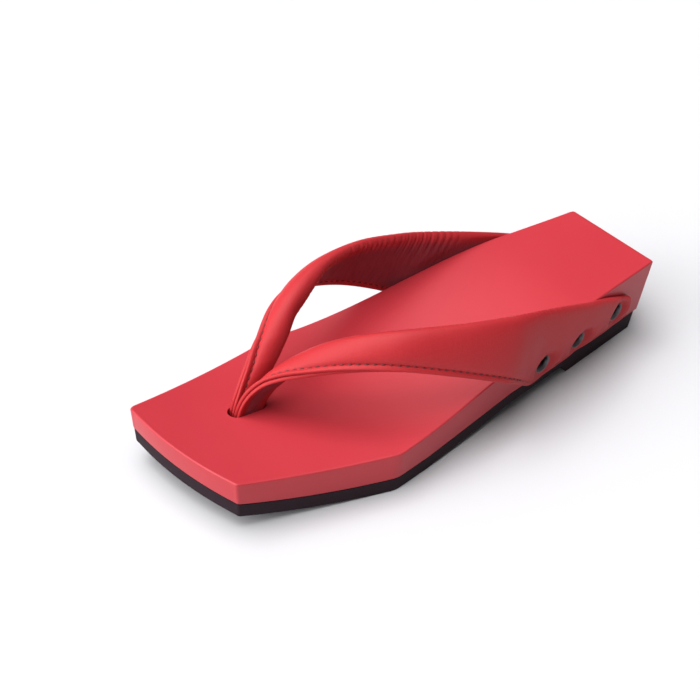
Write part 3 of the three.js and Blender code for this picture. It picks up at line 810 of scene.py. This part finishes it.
def leather_material():
    """Smooth red leather: fine pores, cloudy dye, hair-fine wrinkles across it, and a duller lining with
    painted shade.
    """
    material, tree, shader = new_material("red_leather")
    cloud, fine = uneven(tree, cloud=45, fine=2600)
    where = add_node(tree, "ShaderNodeTexCoord").outputs["Object"]
    pores = add_node(tree, "ShaderNodeTexVoronoi", {"Vector": where, "Scale": 1500.0}, feature="SMOOTH_F1")
    along = add_node(tree, "ShaderNodeUVMap", uv_map="along_and_round").outputs["UV"]
    stretched = add_node(tree, "ShaderNodeMapping", {"Vector": along, "Scale": (900, 110, 1)})
    values = {"Vector": stretched.outputs[0], "Scale": 1.0, "Detail": 3.0, "Distortion": 0.6}
    wrinkles = add_node(tree, "ShaderNodeTexNoise", values).outputs["Fac"]
    grain = calculate(tree, "ADD", pores.outputs["Distance"], fine)
    relief = calculate(tree, "MULTIPLY_ADD", wrinkles, WRINKLE_WEIGHT, grain)
    # Painted shade: under the roll the colour darkens towards the lining, paler and darker along the
    # wrinkles, and the same share dulls it
    lining = mapped_share(tree, "lining_share")
    top = blend_colours(tree, cloud, LEATHER_DEEP, LEATHER_BRIGHT)
    under = blend_colours(tree, wrinkles, SHADE_UNDER_ROLL_DEEP, SHADE_UNDER_ROLL_PALE)
    tree.links.new(blend_colours(tree, lining, top, under), shader.inputs["Base Color"])
    satin = remap(tree, cloud, low=0.44, high=0.56)
    roughness = calculate(tree, "MULTIPLY_ADD", lining, LINING_DULLNESS, satin)
    tree.links.new(roughness, shader.inputs["Roughness"])
    shader.inputs["Specular IOR Level"].default_value = 0.22
    tree.links.new(bump(tree, relief, distance=0.00012, strength=0.4), shader.inputs["Normal"])
    return material


LEATHER_FINISH = leather_material()


def strap_band(name, rows, hand, crease_shift):
    """A band as one closed piece: its creased rings, the two ends closed, and the eyelet holes drilled."""
    points = creased(off_the_wood(band_surface(rows, hand), hand), hand, crease_shift)
    points = dimpled(points)
    stations, around = points.shape[:2]
    index = np.arange(stations * around).reshape(stations, around)
    faces = np.vstack([ring_faces(a, b) for a, b in zip(index[:-1], index[1:])])
    band = new_piece(name, points.reshape(-1, 3), faces, [index[0], index[-1]])
    way, round_way = measure(points)
    # Painted shade: a share that grows from the roll round to the lining seam, where shade falls under the
    # roll
    lining = smooth_step(round_way, SHADE_UNDER_ROLL_STARTS, SHADE_UNDER_ROLL_WHOLE) * (np.arange(around) > LINING_SEAM)
    write_map(band, "along_and_round", way[:, None] / 1000, round_way / 1000)
    write_map(band, "lining_share", lining, lining)
    cut_away(band, eyelet_drills(EYELET_BARREL + CLEARANCE))
    shade(band)
    band.data.materials.append(LEATHER_FINISH)
    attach(band, "root")
    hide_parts("strap_upper")
    return points


outer_points = strap_band("strap_outer_band", OUTER_BAND, 1, OUTER_CREASE_SHIFT)
inner_points = strap_band("strap_inner_band", INNER_BAND, -1, INNER_CREASE_SHIFT)

# Stitches
# One lockstitch seam of dark red thread along each band's flange, sewn through both layers of leather,
# so that a row shows on the top leather and another on the lining.

STITCH_PITCH, STITCH_HALF, THREAD_RADIUS = 3.4, 1.1, 0.42
STITCH_ARCH, STITCH_SUNK, STITCH_TAPER = 0.22, 0.10, 0.95
# The thread's own dark red, darkened further by painted shade of the stitch holes it is sunk into
THREAD_AND_HOLE_SHADE_DEEP, THREAD_AND_HOLE_SHADE_PALE = (0.12, 0.004, 0.006), (0.17, 0.006, 0.009)
STITCH_RINGS, STITCH_SIDES = 9, 8
FIRST_STITCH_UP, LAST_STITCH_AHEAD, LINING_STITCH_AHEAD = 25.0, 90.0, 152.0


def thread_material():
    """Waxed dark red thread with a fine uneven surface, darkened further by painted shade of its stitch
    holes.
    """
    material, tree, shader = new_material("thread_and_hole_shade")
    cloud, fine = uneven(tree, cloud=300, fine=6000)
    colour = blend_colours(tree, cloud, THREAD_AND_HOLE_SHADE_DEEP, THREAD_AND_HOLE_SHADE_PALE)
    tree.links.new(colour, shader.inputs["Base Color"])
    shader.inputs["Roughness"].default_value = 0.6
    tree.links.new(bump(tree, fine, distance=0.00008, strength=0.5), shader.inputs["Normal"])
    return material


THREAD = thread_material()


def stitch_row(points, hand, line, first_ahead):
    """Stitches along one line of a band, spaced evenly along it, as points of [stitch, ring, side].

    A stitch is a circle carried along the line: its radius falls away towards both ends, and its middle
    arches up out of the leather in a parabola.
    """
    path = points[:, line]
    sewn = (path[:, 2] > FIRST_STITCH_UP) & (path[:, 0] > LAST_STITCH_AHEAD) & (path[:, 0] < first_ahead)
    path = path[sewn]
    normal = surface_normals(points, hand)[:, line][sewn]
    way = np.concatenate([[0], np.cumsum(np.linalg.norm(np.diff(path, axis=0), axis=1))])
    centres = np.arange(STITCH_PITCH / 2, way[-1], STITCH_PITCH)

    def at(values, where):
        """Rows of values read off at distances along the line."""
        return np.stack([np.interp(where, way, column) for column in values.T], axis=-1)

    share = np.linspace(-1, 1, STITCH_RINGS)
    middle = at(path, centres[:, None] + share * STITCH_HALF)
    up = unit(at(normal, centres))[:, None, None]
    along = unit(middle[:, -1] - middle[:, 0])[:, None, None]
    beside = np.cross(along, up)
    lift = STITCH_ARCH * (1 - share**2) - STITCH_SUNK
    radius = THREAD_RADIUS * np.sqrt(1 - STITCH_TAPER * share**2)
    turn = np.linspace(0, 2 * math.pi, STITCH_SIDES, endpoint=False)
    spread = up * np.cos(turn)[:, None] + beside * np.sin(turn)[:, None]
    return middle[:, :, None] + up * lift[:, None, None] + spread * radius[:, None, None]


def strap_stitches(name, points, hand):
    """All the stitches of one band as one piece."""
    top_row = stitch_row(points, hand, SEAM, LENGTH)
    lining_row = stitch_row(points, hand, LINING_SEAM, LINING_STITCH_AHEAD)
    rows = np.concatenate([top_row, lining_row])
    quads, caps = turned_faces(*rows.shape[:3])
    stitches = new_piece(name, rows.reshape(-1, 3), quads, caps)
    shade(stitches)
    stitches.data.materials.append(THREAD)
    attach(stitches, "root")


strap_stitches("strap_outer_stitches", outer_points, 1)
strap_stitches("strap_inner_stitches", inner_points, -1)

# Eyelets
# Hollow eyelets of dark metal, three to a side, pressed through the leather into the wood.
# The rim is rolled, and the cup behind it is open.

METAL_DARK, METAL_PALE = (0.15, 0.14, 0.15), (0.21, 0.20, 0.21)
# Painted shade inside the eyelets' bowls, and how much duller the metal is there
BOWL_SHADE_BLACK, BLACK_DULLNESS = (0.002, 0.002, 0.002), 0.4


def metal_material():
    """Dark metal with a dull polish and faint smudges, and painted shade inside the bowl."""
    material, tree, shader = new_material("dark_metal")
    cloud, fine = uneven(tree, cloud=400, fine=4000)
    polished = blend_colours(tree, cloud, METAL_DARK, METAL_PALE)
    black = mapped_share(tree, "black_share")
    # Painted shade: the bowl's inside is drawn towards black, deeper down and under the upper edge
    tree.links.new(blend_colours(tree, black, polished, BOWL_SHADE_BLACK), shader.inputs["Base Color"])
    shader.inputs["Specular IOR Level"].default_value = 0.2
    shader.inputs["Metallic"].default_value = 0.35
    polish = remap(tree, cloud, low=0.45, high=0.58)
    roughness = calculate(tree, "MULTIPLY_ADD", black, BLACK_DULLNESS, polish)
    tree.links.new(roughness, shader.inputs["Roughness"])
    tree.links.new(bump(tree, fine, distance=0.00002, strength=0.3), shader.inputs["Normal"])
    return material


# Half section of an eyelet, from the middle of the barrel's end, round the rim and into the bowl
EYELET_PROFILE = np.array([
    (0.2, -5.0), (3.6, -5.0), (3.9, -4.7), (3.9, 0.2), (4.3, 0.3), (4.5, 0.5), (4.48, 0.8), (4.35, 1.0),
    (4.15, 0.98), (3.9, 0.7), (3.5, 0.1), (3.1, -0.7), (2.8, -1.5), (2.65, -2.4), (2.6, -3.4), (2.5, -4.2),
    (0.2, -4.3),
])

# Painted shade inside the bowl: black from a little below the rim, and sooner under the rim's upper edge,
# where no light falls
BLACK_STARTS, BLACK_WHOLE, BLACK_HIGHER_ABOVE = -0.5, 0.2, 0.9
METAL = metal_material()
upwards = -np.sin(np.linspace(0, 2 * math.pi, EYELET_SIDES, endpoint=False))
depth_below = BLACK_HIGHER_ABOVE * upwards - EYELET_PROFILE[:, 1:]
black_share = smooth_step(depth_below, BLACK_STARTS, BLACK_WHOLE)
seats, facings = eyelet_seats()
names = [f"eyelet_{side}_{number}" for side in ("outer", "inner") for number in (1, 2, 3)]
for node_name, seat, facing in zip(names, seats, facings):
    ring_points = turned(EYELET_PROFILE, seat[None], facing[None], EYELET_SIDES)
    quads, caps = turned_faces(1, len(EYELET_PROFILE), EYELET_SIDES)
    eyelet = new_piece(f"{node_name}_cup", ring_points.reshape(-1, 3), quads, caps)
    write_map(eyelet, "black_share", black_share, black_share)
    shade(eyelet)
    eyelet.data.materials.append(METAL)
    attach(eyelet, "root")
    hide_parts(node_name)

# Floor, light and camera
# A plain white studio floor, a soft key light overhead, a wide glow in front of the toe and a smaller one
# high on the inner side, and the camera of the view.

FLOOR_SIZE, FLOOR_COLOUR, FLOOR_ROUGHNESS = 6.0, (0.59, 0.59, 0.61, 1), 0.9
CAMERA_AT = Vector((0.44074, -0.34762, 0.46553))
CAMERA_TARGET = Vector((-0.05967, 0.00886, -0.01742))
CAMERA_LENS = 83.47
KEY_FROM = Vector((-0.04, -0.12, 0.99))
KEY_STRENGTH, KEY_SPREAD = 2.7, math.radians(58)
DIM_SKY = 0.05
FRONT_GLOW, FRONT_POWER, FRONT_FROM = 5.6, 6.0, (-0.20, -0.91, 0.36)
INNER_GLOW, INNER_POWER, INNER_FROM = 5.5, 30.0, (-0.50, -0.05, 0.86)

floor_corners = 0.5 * FLOOR_SIZE * np.array([[-1, -1, 0], [1, -1, 0], [1, 1, 0], [-1, 1, 0]])
floor_mesh = bpy.data.meshes.new("floor")
floor_mesh.from_pydata(floor_corners.tolist(), [], [(0, 1, 2, 3)])
floor = bpy.data.objects.new("floor", floor_mesh)
bpy.context.scene.collection.objects.link(floor)
floor_paint, _, floor_shader = new_material("white_floor")
floor_shader.inputs["Base Color"].default_value = FLOOR_COLOUR
floor_shader.inputs["Roughness"].default_value = FLOOR_ROUGHNESS
floor_mesh.materials.append(floor_paint)

key = bpy.data.objects.new("key_light", bpy.data.lights.new("key_light", "SUN"))
key.data.energy = KEY_STRENGTH
key.data.angle = KEY_SPREAD
key.rotation_euler = (-KEY_FROM).to_track_quat("-Z", "Y").to_euler()
bpy.context.scene.collection.objects.link(key)

world = bpy.data.worlds.new("studio")
world.use_nodes = True
sky = world.node_tree
looking = add_node(sky, "ShaderNodeTexCoord").outputs["Generated"]


def glow(base, brightness, power, direction):
    """Adds a round glow to the sky's brightness: the cosine from its direction, raised to a power."""
    towards = add_node(sky, "ShaderNodeVectorMath", {0: looking, 1: direction}, operation="DOT_PRODUCT")
    facing = calculate(sky, "MAXIMUM", towards.outputs["Value"], 0.0)
    spread = calculate(sky, "POWER", facing, power)
    return calculate(sky, "MULTIPLY_ADD", spread, brightness, base)


front_and_dim = glow(DIM_SKY, FRONT_GLOW, FRONT_POWER, FRONT_FROM)
brightness = glow(front_and_dim, INNER_GLOW, INNER_POWER, INNER_FROM)
sky.nodes["Background"].inputs["Color"].default_value = (1, 1, 1, 1)
sky.links.new(brightness, sky.nodes["Background"].inputs["Strength"])
bpy.context.scene.world = world
bpy.context.scene.view_settings.view_transform = "Standard"

camera = bpy.data.objects.new("camera", bpy.data.cameras.new("camera"))
camera.data.lens = CAMERA_LENS
camera.location = CAMERA_AT
camera.rotation_euler = (CAMERA_TARGET - CAMERA_AT).to_track_quat("-Z", "Y").to_euler()
bpy.context.scene.collection.objects.link(camera)
bpy.context.scene.camera = camera
